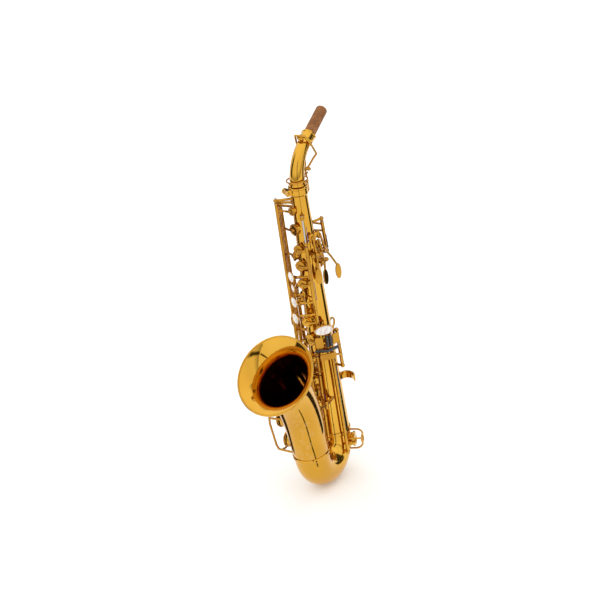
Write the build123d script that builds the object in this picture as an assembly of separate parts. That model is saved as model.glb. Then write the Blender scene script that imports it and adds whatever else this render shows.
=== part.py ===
from build123d import *

import os
from math import cos, exp, radians, sin

# Curved soprano saxophone, millimetres.  While it is worked out, z = 0 is the solder ring between
# body and bow on the body's axis, +Z runs up the body, +Y points to the bell, +X is the player's
# right.  Every sub-part is then moved so that the origin is the centre of the strap ring.
# "theta" turns round the body's axis from the bell side (+Y) towards the player's right (+X).

# --- the conical tube
WALL = 0.8
BODY_LENGTH = 307.3
BODY_FOOT_RADIUS = 19.5
BODY_TOP_RADIUS = 9.1
BOW_DROP = 8.0
BOW_RADIUS = 27.4
BOW_TURN = 172.2
BOW_RISE = 10.7
BOW_END_RADIUS = 21.3
BELL_LEAN = 180 - BOW_TURN
BELL_STRAIGHT = 39.0
BELL_CURVED = 98.5
BELL_TURN = 36.4
BELL_TAPER = 0.045
BELL_RIM_RADIUS = 46.4
BELL_FLARE_LENGTH = 12.0
RING_HALF_HEIGHT = 2.6
RING_PROUD = 1.1

# --- the neck
NECK_STRAIGHT = 6.2
NECK_RADIUS = 44.5
NECK_TURN = 63.0
NECK_TAIL = 3.0
NECK_FOOT_RADIUS = 9.0
NECK_END_RADIUS = 7.2
TENON_RADIUS = 7.9
TENON_LENGTH = 17.0
TENON_FIT = 0.05
RECEIVER_LOW = 302.5
RECEIVER_HIGH = 313.2
RECEIVER_RADIUS = 10.8
COLLAR_LENGTH = 12.5
COLLAR_RADIUS = 8.7
CORK_LENGTH = 39.5
CORK_RADIUS = 6.8
CORK_BORE = 5.6
NECK_BORE = 4.8

# --- keywork
ROD = 1.0
TUBE = 2.1
TUBE_BORE = 1.06
TUBE_GAP = 0.35
ARM = 1.25
CHIMNEY = 2.2
CHIMNEY_WALL = 0.8
PAD_GAP = 0.1
PAD_THICK = 1.9
CUP_WALL = 0.7
POST_STEM = 1.5
POST_BALL = 2.7
PEARL_THICK = 1.6

# tone holes on the body: height up the body, theta, cup radius
HOLES = {
    "high_f_sharp": (286, 24, 5.0),
    "side_high_e": (264, 20, 7.0),
    "palm_f": (251, -128, 5.0),
    "palm_e_flat": (253, -62, 5.2),
    "palm_d": (243, -94, 5.4),
    "c": (241, 5, 5.8),
    "side_c": (228, 62, 5.4),
    "b": (221, 5, 6.2),
    "a": (199, 5, 6.2),
    "bis": (186.5, 5, 4.4),
    "side_b_flat": (169.5, 78, 6.0),
    "g": (152, 5, 7.0),
    "g_sharp": (128, 5, 7.2),
    "f_sharp": (101, 25, 7.8),
    "f": (72, 25, 8.4),
    "e": (42, 25, 8.6),
    "d": (12.0, 25, 8.6),
    "low_e_flat": (46, 150, 9.0),
}
OCTAVE_PIP = (252, 176, 2.6)

PARTS = {}
HINGES = {}


def body_r(z):
    return BODY_FOOT_RADIUS + (BODY_TOP_RADIUS - BODY_FOOT_RADIUS) * z / BODY_LENGTH


def out(theta):
    return Vector(sin(radians(theta)), cos(radians(theta)), 0)


def at(z, theta, rho):
    return out(theta) * rho + Vector(0, 0, z)


def spot(z, theta, height):
    return at(z, theta, body_r(z) + height)


STRAP_POINT = spot(128, 180, 14.5)


def rod(p, q, radius):
    return Solid.make_cylinder(radius, (q - p).length, Plane(origin=p, z_dir=q - p))


def cone(p, q, radius_p, radius_q):
    return Solid.make_cone(radius_p, radius_q, (q - p).length, Plane(origin=p, z_dir=q - p))


def ball(p, radius):
    return Pos(p.X, p.Y, p.Z) * Sphere(radius)


def arm(points, radius=ARM):
    """A soldered lever arm of round bar with rounded bends and ends."""
    shape = ball(points[0], radius)
    for p, q in zip(points, points[1:]):
        shape += rod(p, q, radius)
        shape += ball(q, radius)
    return shape


def turned(profile, point, normal):
    """A turned piece: the (radius, height) profile spun round the normal at the point."""
    face = make_face(Polyline(*[(r, 0, h) for r, h in profile], close=True))
    spun = revolve(face, axis=Axis.Z, revolution_arc=360)
    return Plane(origin=point, z_dir=normal).location * spun


def cup_and_pad(point, normal, radius):
    """A key cup with its pad, closed on the chimney whose rim centre is the point."""
    base = PAD_GAP + PAD_THICK
    lip = PAD_GAP + 0.8
    inner = radius - CUP_WALL
    profile = [(0, base), (inner, base), (inner, lip), (radius, lip), (radius, base + 0.4),
               (radius - 0.7, base + 1.1), (radius * 0.62, base + 1.3), (radius * 0.55, base + 1.0),
               (0, base + 1.0)]
    pad = turned([(0, PAD_GAP), (inner - 0.25, PAD_GAP), (inner, lip - 0.3), (inner, base), (0, base)],
                 point, normal)
    return turned(profile, point, normal), pad


def cup_arm(hinge_point, point, normal, radius):
    """The arm that rises from the hinge tube over the cup's rim to the middle of its back."""
    top = point + normal * (PAD_GAP + PAD_THICK + 1.3)
    away = hinge_point - top
    away = (away - normal * away.dot(normal)).normalized()
    over = top + away * (radius + 0.6) + normal * 1.3
    return arm([hinge_point, over, top + normal * 0.6]) + turned(
        [(0, 0), (2.3, 0), (2.0, 1.1), (0, 1.6)], top - normal * 0.4, normal)


def pearl_and_seat(point, normal, radius):
    """A domed finger pearl in its turned seat; the point is the middle of the seat's back."""
    seat = turned([(0, 0), (radius * 0.6, 0), (radius + 0.7, 1.0), (radius + 0.7, 2.2),
                   (radius, 2.2), (radius, 1.2), (0, 1.2)], point, normal)
    edge = 1.2 + PEARL_THICK * 0.6
    pearl = turned([(0, 1.2), (radius, 1.2), (radius, edge), (radius * 0.8, edge + 0.5),
                    (radius * 0.4, edge + 0.85), (0, edge + 0.95)], point, normal)
    return seat, pearl


def spoon(point, normal, along, length, width, thick=1.5):
    """A finger touch: an oval plate with rounded edges, long side along the given direction."""
    oval = extrude(Ellipse(length / 2, width / 2), thick)
    oval = fillet(oval.edges(), thick * 0.3)
    return Plane(origin=point, x_dir=along, z_dir=normal).location * oval


def plate(point, normal, along, length, width, thick=1.6):
    """A pinky touch: a plate with rounded corners."""
    slab = extrude(RectangleRounded(length, width, min(length, width) * 0.22), thick)
    slab = fillet(slab.edges().filter_by(Plane.XY), thick * 0.3)
    return Plane(origin=point, x_dir=along, z_dir=normal).location * slab


def rim_point(name):
    z, theta, radius = HOLES[name]
    return spot(z, theta, CHIMNEY), out(theta), radius


def add(node, *shapes):
    PARTS.setdefault(node, []).extend(shapes)


class SteelLine:
    """A straight run of pivot steel between two posts, on which keys turn."""

    def __init__(self, low, high):
        self.low = low
        self.high = high
        self.way = (high - low).normalized()

    def at_z(self, z):
        share = (z - self.low.Z) / (self.high.Z - self.low.Z)
        return self.low + (self.high - self.low) * share

    def tube(self, z_low, z_high):
        return self.at_z(z_low), self.at_z(z_high)


class Key:
    """One lever: hinge tube, arms, cups and touches.  It is drawn with its pads closed and
    stands turned by its rest angle; travel is its whole swing from rest, in degrees."""

    def __init__(self, node, ends, rest=0.0, travel=6.0):
        self.node = node
        self.p, self.q = ends
        self.rest = rest
        self.brass = [rod(self.p, self.q, TUBE)]
        self.extras = []
        HINGES[node] = (self.p, self.q, rest, travel)

    def solder(self, *shapes):
        self.brass.extend(shapes)

    def cup(self, point, normal, radius, hinge_point):
        brass, pad = cup_and_pad(point, normal, radius)
        self.solder(brass, cup_arm(hinge_point, point, normal, radius))
        self.extras.append((self.node, pad))

    def hole_cup(self, name, hinge_point):
        self.cup(*rim_point(name), hinge_point)

    def pearl(self, point, normal, radius, path, pearl_node):
        seat, pearl = pearl_and_seat(point, normal, radius)
        self.solder(seat, arm(path + [point - normal * 0.2]))
        self.extras.append((pearl_node, pearl))

    def finish(self):
        brass = self.brass[0]
        for shape in self.brass[1:]:
            brass += shape
        way = (self.q - self.p).normalized()
        brass -= rod(self.p - way * 9, self.q + way * 9, TUBE_BORE)
        pivot = Axis(self.p, way)
        add(self.node, brass.rotate(pivot, self.rest))
        for node, shape in self.extras:
            add(node, shape.rotate(pivot, self.rest))


POSTS = []
RODS = []
SPRINGS = []


def post(foot, head, way):
    """A ball-headed post soldered to the tube, bored for the pivot steel."""
    stem_way = (head - foot).normalized()
    shape = rod(foot - stem_way * 1.5, head, POST_STEM)
    shape += cone(foot - stem_way * 1.5, foot + stem_way * 1.6, 3.2, 2.0)
    shape += ball(head, POST_BALL)
    return shape - rod(head - way * 6, head + way * 6, ROD)


def stand(line, heads):
    """Posts under a line of pivot steel at the given heights, and the steel through them."""
    for z in heads:
        head = line.at_z(z)
        theta_way = Vector(head.X, head.Y, 0).normalized()
        foot = theta_way * body_r(z) + Vector(0, 0, z)
        POSTS.append(post(foot, head, line.way))
    low = line.at_z(min(heads)) - line.way * 2.2
    high = line.at_z(max(heads)) + line.way * 2.2
    RODS.append(rod(low, high, ROD))


def spring(line, z_low, z_high, theta_shift):
    """A blued needle spring beside a hinge tube, pushed into the lower post's ball."""
    low = line.at_z(z_low)
    high = line.at_z(z_high)
    side = out(theta_shift) * (TUBE + 1.0)
    SPRINGS.append(cone(low + side, high + side, 0.4, 0.25))


# ---------------------------------------------------------------- the tube
body_solid = cone(Vector(0, 0, 0), Vector(0, 0, BODY_LENGTH), BODY_FOOT_RADIUS, BODY_TOP_RADIUS)
body_bore = cone(Vector(0, 0, 0), Vector(0, 0, BODY_LENGTH),
                 BODY_FOOT_RADIUS - WALL, BODY_TOP_RADIUS - WALL)


def chimney(foot, point, radius):
    """A drawn tone-hole wall from the bore out to the rim centre, and the hole through it."""
    wall = rod(foot, point, radius - CUP_WALL - 0.7)
    hole = rod(foot, point + (point - foot).normalized() * 0.5, radius - CUP_WALL - 0.7 - CHIMNEY_WALL)
    return wall, hole


body = body_solid
walls = []
holes = []
for key_name, (z, theta, radius) in HOLES.items():
    wall, hole = chimney(at(z, theta, 2), spot(z, theta, CHIMNEY), radius)
    body += wall
    walls.append(wall)
    holes.append(hole)
pip_wall, pip_hole = chimney(at(OCTAVE_PIP[0], OCTAVE_PIP[1], 2),
                             spot(OCTAVE_PIP[0], OCTAVE_PIP[1], CHIMNEY), 3.2)
body += pip_wall
body -= body_bore
socket_low = Vector(0, 0, BODY_LENGTH - TENON_LENGTH + 5)
socket_wall = rod(socket_low, Vector(0, 0, BODY_LENGTH), TENON_RADIUS + 0.9)
socket_bore = rod(socket_low - Vector(0, 0, 1), Vector(0, 0, BODY_LENGTH + 1), TENON_RADIUS + TENON_FIT)
body += socket_wall
body -= socket_bore
for hole in holes:
    body -= hole
body -= rod(at(OCTAVE_PIP[0], OCTAVE_PIP[1], 2), spot(OCTAVE_PIP[0], OCTAVE_PIP[1], 4), 0.7)
add("body_tube", body)


def bow_plane(s):
    """The cross-section plane of the bow at length s along its centre line."""
    arc = BOW_RADIUS * radians(BOW_TURN)
    if s <= BOW_DROP:
        return Plane(origin=(0, 0, -s), x_dir=(1, 0, 0), z_dir=(0, 0, -1))
    turn = min(s - BOW_DROP, arc) / BOW_RADIUS
    y = BOW_RADIUS * (1 - cos(turn))
    z = -BOW_DROP - BOW_RADIUS * sin(turn)
    way = Vector(0, sin(turn), -cos(turn))
    extra = max(0.0, s - BOW_DROP - arc)
    return Plane(origin=Vector(0, y, z) + way * extra, x_dir=(1, 0, 0), z_dir=way)


BOW_LENGTH = BOW_DROP + BOW_RADIUS * radians(BOW_TURN) + BOW_RISE


def bow_r(s):
    return BODY_FOOT_RADIUS + (BOW_END_RADIUS - BODY_FOOT_RADIUS) * s / BOW_LENGTH


def bell_plane(s):
    """The cross-section plane of the bell at length s up from the bow-to-bell ring."""
    start = bow_plane(BOW_LENGTH)
    if s <= BELL_STRAIGHT:
        return Plane(origin=start.origin + start.z_dir * s, x_dir=(1, 0, 0), z_dir=start.z_dir)
    bend = BELL_CURVED / radians(BELL_TURN)
    turn = (s - BELL_STRAIGHT) / bend
    lean = radians(BELL_LEAN)
    foot = start.origin + start.z_dir * BELL_STRAIGHT
    forward = Vector(0, cos(lean), -sin(lean))
    up = Vector(0, sin(lean), cos(lean))
    origin = foot + up * (bend * sin(turn)) + forward * (bend * (1 - cos(turn)))
    return Plane(origin=origin, x_dir=(1, 0, 0), z_dir=up * cos(turn) + forward * sin(turn))


BELL_LENGTH = BELL_STRAIGHT + BELL_CURVED


def bell_r(s):
    flare = BELL_RIM_RADIUS - BOW_END_RADIUS - BELL_TAPER * BELL_LENGTH
    return BOW_END_RADIUS + BELL_TAPER * s + flare * exp((s - BELL_LENGTH) / BELL_FLARE_LENGTH)


def skin(plane_of, radius_of, stations, inset=0.0):
    """A solid lofted through round sections set square to the centre line."""
    rings = [plane_of(s).location * Circle(radius_of(s) - inset) for s in stations]
    return loft(rings)


# the bow
bow_stations = [BOW_LENGTH * i / 16 for i in range(17)]
bow_solid = skin(bow_plane, bow_r, bow_stations)
bow_bore = skin(bow_plane, bow_r, bow_stations, WALL)
CS_CENTRE = Vector(0, 0.5, -15)
CS_WAY = out(-110)
CS_RADIUS = 9.2
CS_RIM = CS_CENTRE + CS_WAY * (BODY_FOOT_RADIUS + 0.4 + CHIMNEY)
C_PLANE = bow_plane(27)
C_RADIUS = 10.2
C_WAY = Vector(1, 0, 0)
C_RIM = C_PLANE.origin + C_WAY * (bow_r(27) + CHIMNEY)
cs_wall, cs_hole = chimney(CS_CENTRE + CS_WAY * 4, CS_RIM, CS_RADIUS)
c_wall, c_hole = chimney(C_PLANE.origin + C_WAY * 4, C_RIM, C_RADIUS)
walls.extend([cs_wall, c_wall])
bow = bow_solid + cs_wall + c_wall - bow_bore - cs_hole - c_hole
add("bow", bow)

# the bell, whose lower end carries the two largest tone holes on the player's right
B_STATION, BB_STATION = 15.0, 45.5
B_RADIUS, BB_RADIUS = 11.2, 12.0
bell_stations = [0, 18, BELL_STRAIGHT, 55, 72, 88, 102, 112, 120, 126, 130.5, 134, BELL_LENGTH]
bell_solid = skin(bell_plane, bell_r, bell_stations)
bell_bore = skin(bell_plane, bell_r, bell_stations, WALL)
bell = bell_solid
bell_rims = {}
bell_cuts = []
for key_name, station, radius in (("low_b", B_STATION, B_RADIUS), ("low_b_flat", BB_STATION, BB_RADIUS)):
    centre = bell_plane(station).origin
    rim = centre + Vector(bell_r(station) + CHIMNEY, 0, 0)
    wall, hole = chimney(centre + Vector(6, 0, 0), rim, radius)
    bell += wall
    walls.append(wall)
    bell_cuts.append(hole)
    bell_rims[key_name] = (rim, Vector(1, 0, 0), radius)
bell -= bell_bore
for hole in bell_cuts:
    bell -= hole
add("bell", bell)

# the rolled wire that stiffens the bell's rim
rim_plane = bell_plane(BELL_LENGTH)
BEAD_RADIUS = 0.9
add("bell_rim_bead", rim_plane.location * Torus(BELL_RIM_RADIUS + BEAD_RADIUS + 0.02, BEAD_RADIUS))


def ring(plane, radius):
    """A rounded reinforcing ring slid over a tube joint."""
    half = RING_HALF_HEIGHT
    profile = [(radius + 0.02, -half), (radius + RING_PROUD * 0.6, -half),
               (radius + RING_PROUD, -half * 0.5), (radius + RING_PROUD, half * 0.5),
               (radius + RING_PROUD * 0.6, half), (radius + 0.02, half)]
    return turned(profile, plane.origin, plane.z_dir)


add("body_bow_ring", ring(bow_plane(0), BODY_FOOT_RADIUS) - body_solid - bow_solid)
add("bow_bell_ring", ring(bow_plane(BOW_LENGTH), BOW_END_RADIUS) - bell_solid - bow_solid)

# ---------------------------------------------------------------- receiver and neck
receiver = turned([(0, RECEIVER_LOW), (RECEIVER_RADIUS - 0.9, RECEIVER_LOW),
                   (RECEIVER_RADIUS, RECEIVER_LOW + 1.4), (RECEIVER_RADIUS, RECEIVER_HIGH - 3.0),
                   (RECEIVER_RADIUS + 0.8, RECEIVER_HIGH - 2.2), (RECEIVER_RADIUS + 0.8, RECEIVER_HIGH - 0.6),
                   (RECEIVER_RADIUS, RECEIVER_HIGH), (0, RECEIVER_HIGH)], Vector(0, 0, 0), Vector(0, 0, 1))
CLAMP_THETA = 34
lug_way = out(CLAMP_THETA)
lug_side = out(CLAMP_THETA + 90)
lug_z = (RECEIVER_LOW + RECEIVER_HIGH) / 2
lug_plane = Plane(origin=lug_way * (RECEIVER_RADIUS + 1.5) + Vector(0, 0, lug_z),
                  x_dir=lug_way, z_dir=(0, 0, 1))
receiver += lug_plane.location * Box(7, 7.4, 7)
receiver -= lug_plane.location * Box(9, 1.2, 40)
receiver -= rod(Vector(0, 0, 280), Vector(0, 0, 330), TENON_RADIUS + TENON_FIT)
receiver -= body_solid
screw_at = lug_way * (RECEIVER_RADIUS + 2.6) + Vector(0, 0, lug_z)
receiver -= rod(screw_at - lug_side * 9, screw_at + lug_side * 9, 1.55)
add("neck_receiver", receiver)
screw_head = turned([(0, 0), (2.4, 0), (2.4, 1.0), (3.6, 1.8), (3.6, 4.6), (2.8, 5.2), (0, 5.2)],
                    screw_at + lug_side * 4.0, lug_side)
screw = rod(screw_at - lug_side * 4.6, screw_at + lug_side * 5, 1.5) + screw_head
add("neck_clamp_screw", screw)
HINGES["neck_clamp_screw"] = (screw_at, screw_at + lug_side * 10, 0.0, 180.0)


def neck_plane(s):
    """The cross-section plane of the neck at length s above the body's top."""
    if s <= NECK_STRAIGHT:
        return Plane(origin=(0, 0, BODY_LENGTH + s), x_dir=(1, 0, 0), z_dir=(0, 0, 1))
    turn = min((s - NECK_STRAIGHT) / NECK_RADIUS, radians(NECK_TURN))
    way = Vector(0, -sin(turn), cos(turn))
    y = -NECK_RADIUS * (1 - cos(turn))
    z = BODY_LENGTH + NECK_STRAIGHT + NECK_RADIUS * sin(turn)
    extra = max(0.0, s - NECK_STRAIGHT - NECK_RADIUS * radians(NECK_TURN))
    return Plane(origin=Vector(0, y, z) + way * extra, x_dir=(1, 0, 0), z_dir=way)


NECK_ARC = NECK_RADIUS * radians(NECK_TURN)
NECK_ARC_END = NECK_STRAIGHT + NECK_ARC + NECK_TAIL


def neck_r(s):
    return NECK_FOOT_RADIUS + (NECK_END_RADIUS - NECK_FOOT_RADIUS) * s / NECK_ARC_END


NECK_FOOT = RECEIVER_HIGH + 0.3 - BODY_LENGTH
neck_stations = [NECK_FOOT] + [NECK_STRAIGHT + NECK_ARC * i / 7 for i in range(8)] + [NECK_ARC_END]
neck_solid = skin(neck_plane, neck_r, neck_stations)
collar_start = neck_plane(NECK_ARC_END)
neck_way = collar_start.z_dir
collar_end = collar_start.origin + neck_way * COLLAR_LENGTH
tip = collar_end + neck_way * CORK_LENGTH
tenon_low = Vector(0, 0, BODY_LENGTH + 6 - TENON_LENGTH)
tenon_top = Vector(0, 0, RECEIVER_HIGH + 0.9)
neck = neck_solid + rod(collar_start.origin, tip, CORK_BORE)
neck += rod(tenon_low, tenon_top, TENON_RADIUS)
neck += turned([(0, 0.3), (9.6, 0.3), (10.1, 1.0), (10.1, 2.4), (9.4, 3.0), (0, 3.0)],
               Vector(0, 0, RECEIVER_HIGH), Vector(0, 0, 1))
PIP_STATION = NECK_ARC_END - 2.7
NECK_PIP = neck_plane(PIP_STATION)
NECK_PIP_WAY = Vector(0, NECK_PIP.z_dir.Z, -NECK_PIP.z_dir.Y)
NECK_PIP_TOP = NECK_PIP.origin + NECK_PIP_WAY * (neck_r(PIP_STATION) + 2.0)
neck += rod(NECK_PIP.origin, NECK_PIP_TOP, 2.2)
neck -= skin(neck_plane, neck_r, neck_stations, WALL * 1.6)
neck -= rod(tenon_low - Vector(0, 0, 1), tenon_top + Vector(0, 0, 0.5), TENON_RADIUS - WALL)
neck -= rod(collar_start.origin - neck_way * 2, tip + neck_way * 2, NECK_BORE)
neck -= rod(NECK_PIP.origin, NECK_PIP_TOP + NECK_PIP_WAY, 0.7)
collar = turned([(CORK_BORE + 0.02, 0.3), (COLLAR_RADIUS - 0.9, 0.3), (COLLAR_RADIUS - 0.3, 1.6),
                 (COLLAR_RADIUS - 0.5, 3.0), (COLLAR_RADIUS - 0.5, COLLAR_LENGTH - 2.6),
                 (COLLAR_RADIUS, COLLAR_LENGTH - 1.6), (COLLAR_RADIUS, COLLAR_LENGTH - 0.4),
                 (COLLAR_RADIUS - 0.5, COLLAR_LENGTH), (CORK_BORE + 0.02, COLLAR_LENGTH)],
                collar_start.origin, neck_way)
add("neck_collar", collar)
cork = turned([(CORK_BORE, 0.05), (CORK_RADIUS, 0.05), (CORK_RADIUS, CORK_LENGTH - 1.2),
               (CORK_RADIUS - 0.5, CORK_LENGTH - 0.2), (CORK_BORE, CORK_LENGTH - 0.2)],
              collar_end, neck_way)
add("mouthpiece_cork", cork)

# the saddle under the neck that carries the neck octave key
SADDLE_STATION = NECK_STRAIGHT + NECK_ARC * 0.42
saddle_plane = neck_plane(SADDLE_STATION)
saddle_way = Vector(0, -saddle_plane.z_dir.Z, saddle_plane.z_dir.Y)
saddle_foot = saddle_plane.origin + saddle_way * (neck_r(SADDLE_STATION) - 0.6)
saddle = saddle_foot + saddle_way * 9.0
SADDLE_X = 5.4
across = Vector(SADDLE_X, 0, 0)
block = turned([(0, 0), (5.0, 0), (5.0, 2.0), (4.0, 2.6), (0, 2.6)], saddle_foot, saddle_way)
for side in (-1, 1):
    block += arm([saddle_foot + Vector(side * 3.2, 0, 0) + saddle_way, saddle + across * side], 1.4)
    block += ball(saddle + across * side, 2.2)
block -= neck_solid
block -= rod(saddle - across * 2, saddle + across * 2, ROD)
add("neck_tube", neck)
add("neck_key_saddle", max(block.solids(), key=lambda s: s.volume),
    rod(saddle - across * 1.3, saddle + across * 1.3, ROD))
HINGES["neck"] = (Vector(0, 0, 0), Vector(0, 0, 10), 0.0, 20.0)

# ---------------------------------------------------------------- neck octave key
neck_key = Key("neck_octave_key", (saddle - Vector(2.8, 0, 0), saddle + Vector(2.8, 0, 0)), 0, -5)
loop_side = neck_r(NECK_ARC_END) + 2.6
brass, pad = cup_and_pad(NECK_PIP_TOP, NECK_PIP_WAY, 3.9)
neck_key.solder(brass)
neck_key.extras.append(("neck_octave_key", pad))
pad_top = NECK_PIP_TOP + NECK_PIP_WAY * 4.0
loop_low = saddle + saddle_plane.z_dir * 12 + saddle_way * 6.5
LOOP_WIRE = 1.15
for side in (-1, 1):
    wide = Vector(side * loop_side, 0, 0)
    neck_key.solder(arm([saddle + saddle_way * 0.5 + Vector(side * 1.2, 0, 0),
                         saddle + saddle_plane.z_dir * 4 + saddle_way * 4.5 + Vector(side * 2.5, 0, 0),
                         loop_low + wide * 0.55, loop_low + saddle_plane.z_dir * 6 + wide * 0.95,
                         NECK_PIP.origin + NECK_PIP_WAY * -2 + wide, pad_top + wide * 0.62,
                         pad_top], LOOP_WIRE))
LOOP_RADIUS = 12.0
loop_centre = Vector(0, 0, RECEIVER_HIGH + 6.6)
loop_back = loop_centre - Vector(0, LOOP_RADIUS, 0)
tail_top = Vector(0, saddle.Y - 1.2, loop_centre.Z)
neck_key.solder(arm([saddle, tail_top, tail_top - Vector(0, 0, 3.6)], LOOP_WIRE))
neck_key.solder(arm([tail_top - Vector(0, 2.6, 0), loop_back], LOOP_WIRE))
neck_key.solder(Pos(0, 0, loop_centre.Z) * Torus(LOOP_RADIUS, 0.9))
neck_key.finish()

# ---------------------------------------------------------------- octave mechanism on the body
octave_line = SteelLine(spot(225, -154, 14), spot(265, -154, 14))
stand(octave_line, (225, 265))
thumb = Key("octave_thumb_lever", octave_line.tube(228.2, 236.4), 0, 6)
thumb_touch = at(211, 178, body_r(211) + 9.5)
thumb.solder(arm([octave_line.at_z(232), at(231, -168, 24), thumb_touch]))
thumb.solder(spoon(thumb_touch, out(180), Vector(0, 0, 1), 17, 11))
thumb.finish()
vent = Key("body_octave_key", octave_line.tube(237.0, 252.2), 0, -5)
vent.cup(spot(OCTAVE_PIP[0], OCTAVE_PIP[1], CHIMNEY), out(OCTAVE_PIP[1]), 3.7, octave_line.at_z(250))
vent.finish()
pin = Key("neck_octave_pin", octave_line.tube(252.8, 261.8), 0, -5)
PIN_TOP = Vector(0, tail_top.Y, RECEIVER_HIGH - 2.2)
pin.solder(arm([octave_line.at_z(258), at(261, -176, 17.5), at(266, 170, 15.5), at(294, 172, 15.0),
                Vector(0, tail_top.Y, 300), PIN_TOP]), ball(PIN_TOP, 1.7))
pin.finish()

# ---------------------------------------------------------------- palm keys: seesaws across the body
PALM_PIVOT_HEIGHT = 8.5
PALMS = [
    ("palm_d_key", "palm_d", 222, -92, (204, -82, 8.5), -82, 0),
    ("palm_e_flat_key", "palm_e_flat", 233, -63, (208, -56, 8.5), -56, 0),
    ("palm_f_key", "palm_f", 232, -122, (211, -122, 19.0), -72, 7.5),
]
for node, hole_name, pivot_z, pivot_theta, (touch_z, touch_theta, touch_height), facing, drop in PALMS:
    middle = spot(pivot_z, pivot_theta, PALM_PIVOT_HEIGHT)
    across = out(pivot_theta + 90)
    key = Key(node, (middle - across * 2.3, middle + across * 2.3), 0, -7)
    key.hole_cup(hole_name, middle)
    touch = spot(touch_z, touch_theta, touch_height)
    knee = spot(touch_z + 11, (touch_theta + pivot_theta) / 2, touch_height * 0.5 + 4.5)
    key.solder(arm([middle, knee, touch]))
    key.solder(spoon(touch - Vector(0, 0, drop), out(facing), Vector(0, 0, 1), 19, 8.5))
    key.finish()
    for side in (-1, 1):
        head = middle + across * side * (2.3 + POST_BALL + TUBE_GAP - 0.4)
        foot = Vector(head.X, head.Y, 0).normalized() * body_r(pivot_z) + Vector(0, 0, pivot_z)
        POSTS.append(post(foot, head, across))
    RODS.append(rod(middle - across * 6.2, middle + across * 6.2, ROD))

# ---------------------------------------------------------------- side keys on long parallel steels
SIDES = [
    ("high_f_sharp_key", "high_f_sharp", 62, 92, 298, 99, 17),
    ("side_high_e_key", "side_high_e", 76, 133, 293, 141, 17),
    ("side_c_key", "side_c", 90, 115, 287, 123, 17),
    ("side_b_flat_key", "side_b_flat", 104, 97, 184, 105, 17),
]
SIDE_RHO = 27.5
for node, hole_name, theta, low_z, high_z, touch_z, touch_length in SIDES:
    line = SteelLine(at(low_z, theta, SIDE_RHO), at(high_z, theta, SIDE_RHO))
    stand(line, (low_z, high_z))
    key = Key(node, line.tube(low_z + POST_BALL + TUBE_GAP, high_z - POST_BALL - TUBE_GAP), 0, -7)
    key.hole_cup(hole_name, line.at_z(HOLES[hole_name][0]))
    touch_theta = theta + 17
    touch = at(touch_z, touch_theta, SIDE_RHO + 6.6)
    key.solder(arm([line.at_z(touch_z), at(touch_z, theta + 5, SIDE_RHO + 5), touch]))
    key.solder(spoon(touch, out(touch_theta), Vector(0, 0, 1), touch_length, 9.5))
    key.finish()

# ---------------------------------------------------------------- upper stack
upper = SteelLine(spot(146, -31, 8), spot(280, -31, 8))
stand(upper, (146, 248.5, 280))
OPEN_UPPER = 7.0


def stack_key(node, line, tube, hole_name, opening, pearl=None):
    key = Key(node, line.tube(*tube), opening, -opening)
    key.hole_cup(hole_name, line.at_z(HOLES[hole_name][0]))
    if pearl:
        arm_z, pearl_z, pearl_theta, height, radius, path = pearl
        seat = spot(pearl_z, pearl_theta, height)
        route = [line.at_z(arm_z)] + [spot(z, theta, rise) for z, theta, rise in path]
        key.pearl(seat, out(pearl_theta), radius, route, "pearl_" + node.split("_")[0])
    key.finish()


stack_key("c_key", upper, (234, 245.4), "c", OPEN_UPPER)
stack_key("b_key", upper, (206.2, 233.4), "b", OPEN_UPPER,
          (210, 208.5, 36, 9.0, 5.7, [(210, -12, 9.6), (210, 12, 9.4)]))
stack_key("a_key", upper, (168, 205.6), "a", OPEN_UPPER,
          (178, 177, 35, 9.0, 5.7, [(178, -12, 9.6), (178, 12, 9.4)]))
stack_key("g_key", upper, (149.4, 167.4), "g", OPEN_UPPER,
          (163, 156.5, 35, 9.5, 5.9, [(163, -12, 9.6), (162, 14, 10.4)]))
bis_line = SteelLine(spot(179, 66, 7.5), spot(201, 66, 7.5))
stand(bis_line, (179, 201))
bis = Key("bis_key", bis_line.tube(182.1, 197.9), -5, 5)
bis.hole_cup("bis", bis_line.at_z(186.5))
bis_seat = spot(194, 32, 9)
bis.pearl(bis_seat, out(32), 4.0, [bis_line.at_z(194)], "pearl_bis")
bis.finish()

# ---------------------------------------------------------------- lower stack
lower = SteelLine(spot(0.5, -15, 7.5), spot(112, -15, 7.5))
stand(lower, (0.5, 87.6, 112))
OPEN_LOWER = 5.0
stack_key("f_sharp_key", lower, (90.8, 108.8), "f_sharp", OPEN_LOWER)
stack_key("f_key", lower, (62.0, 84.4), "f", OPEN_LOWER,
          (82.6, 80, 61, 8.0, 5.9, [(82.6, 8, 9.4), (82.4, 34, 9.6)]))
stack_key("e_key", lower, (32.6, 61.4), "e", OPEN_LOWER,
          (56.5, 55, 61, 8.0, 5.9, [(56.5, 8, 9.4), (56.5, 34, 9.6)]))
stack_key("d_key", lower, (3.7, 32.0), "d", OPEN_LOWER,
          (26.5, 30, 61, 8.0, 5.9, [(26.5, 8, 9.4), (26.5, 34, 9.6)]))

# ---------------------------------------------------------------- G sharp
g_line = SteelLine(spot(118.5, -27, 7.5), spot(137, -27, 7.5))
stand(g_line, (118.5, 137))
g_sharp = Key("g_sharp_key", g_line.tube(121.6, 133.9), 0, 7)
g_sharp.hole_cup("g_sharp", g_line.at_z(128))
g_sharp.solder(arm([g_line.at_z(131), spot(131, -42, 8.2)]))
g_sharp.finish()

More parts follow.
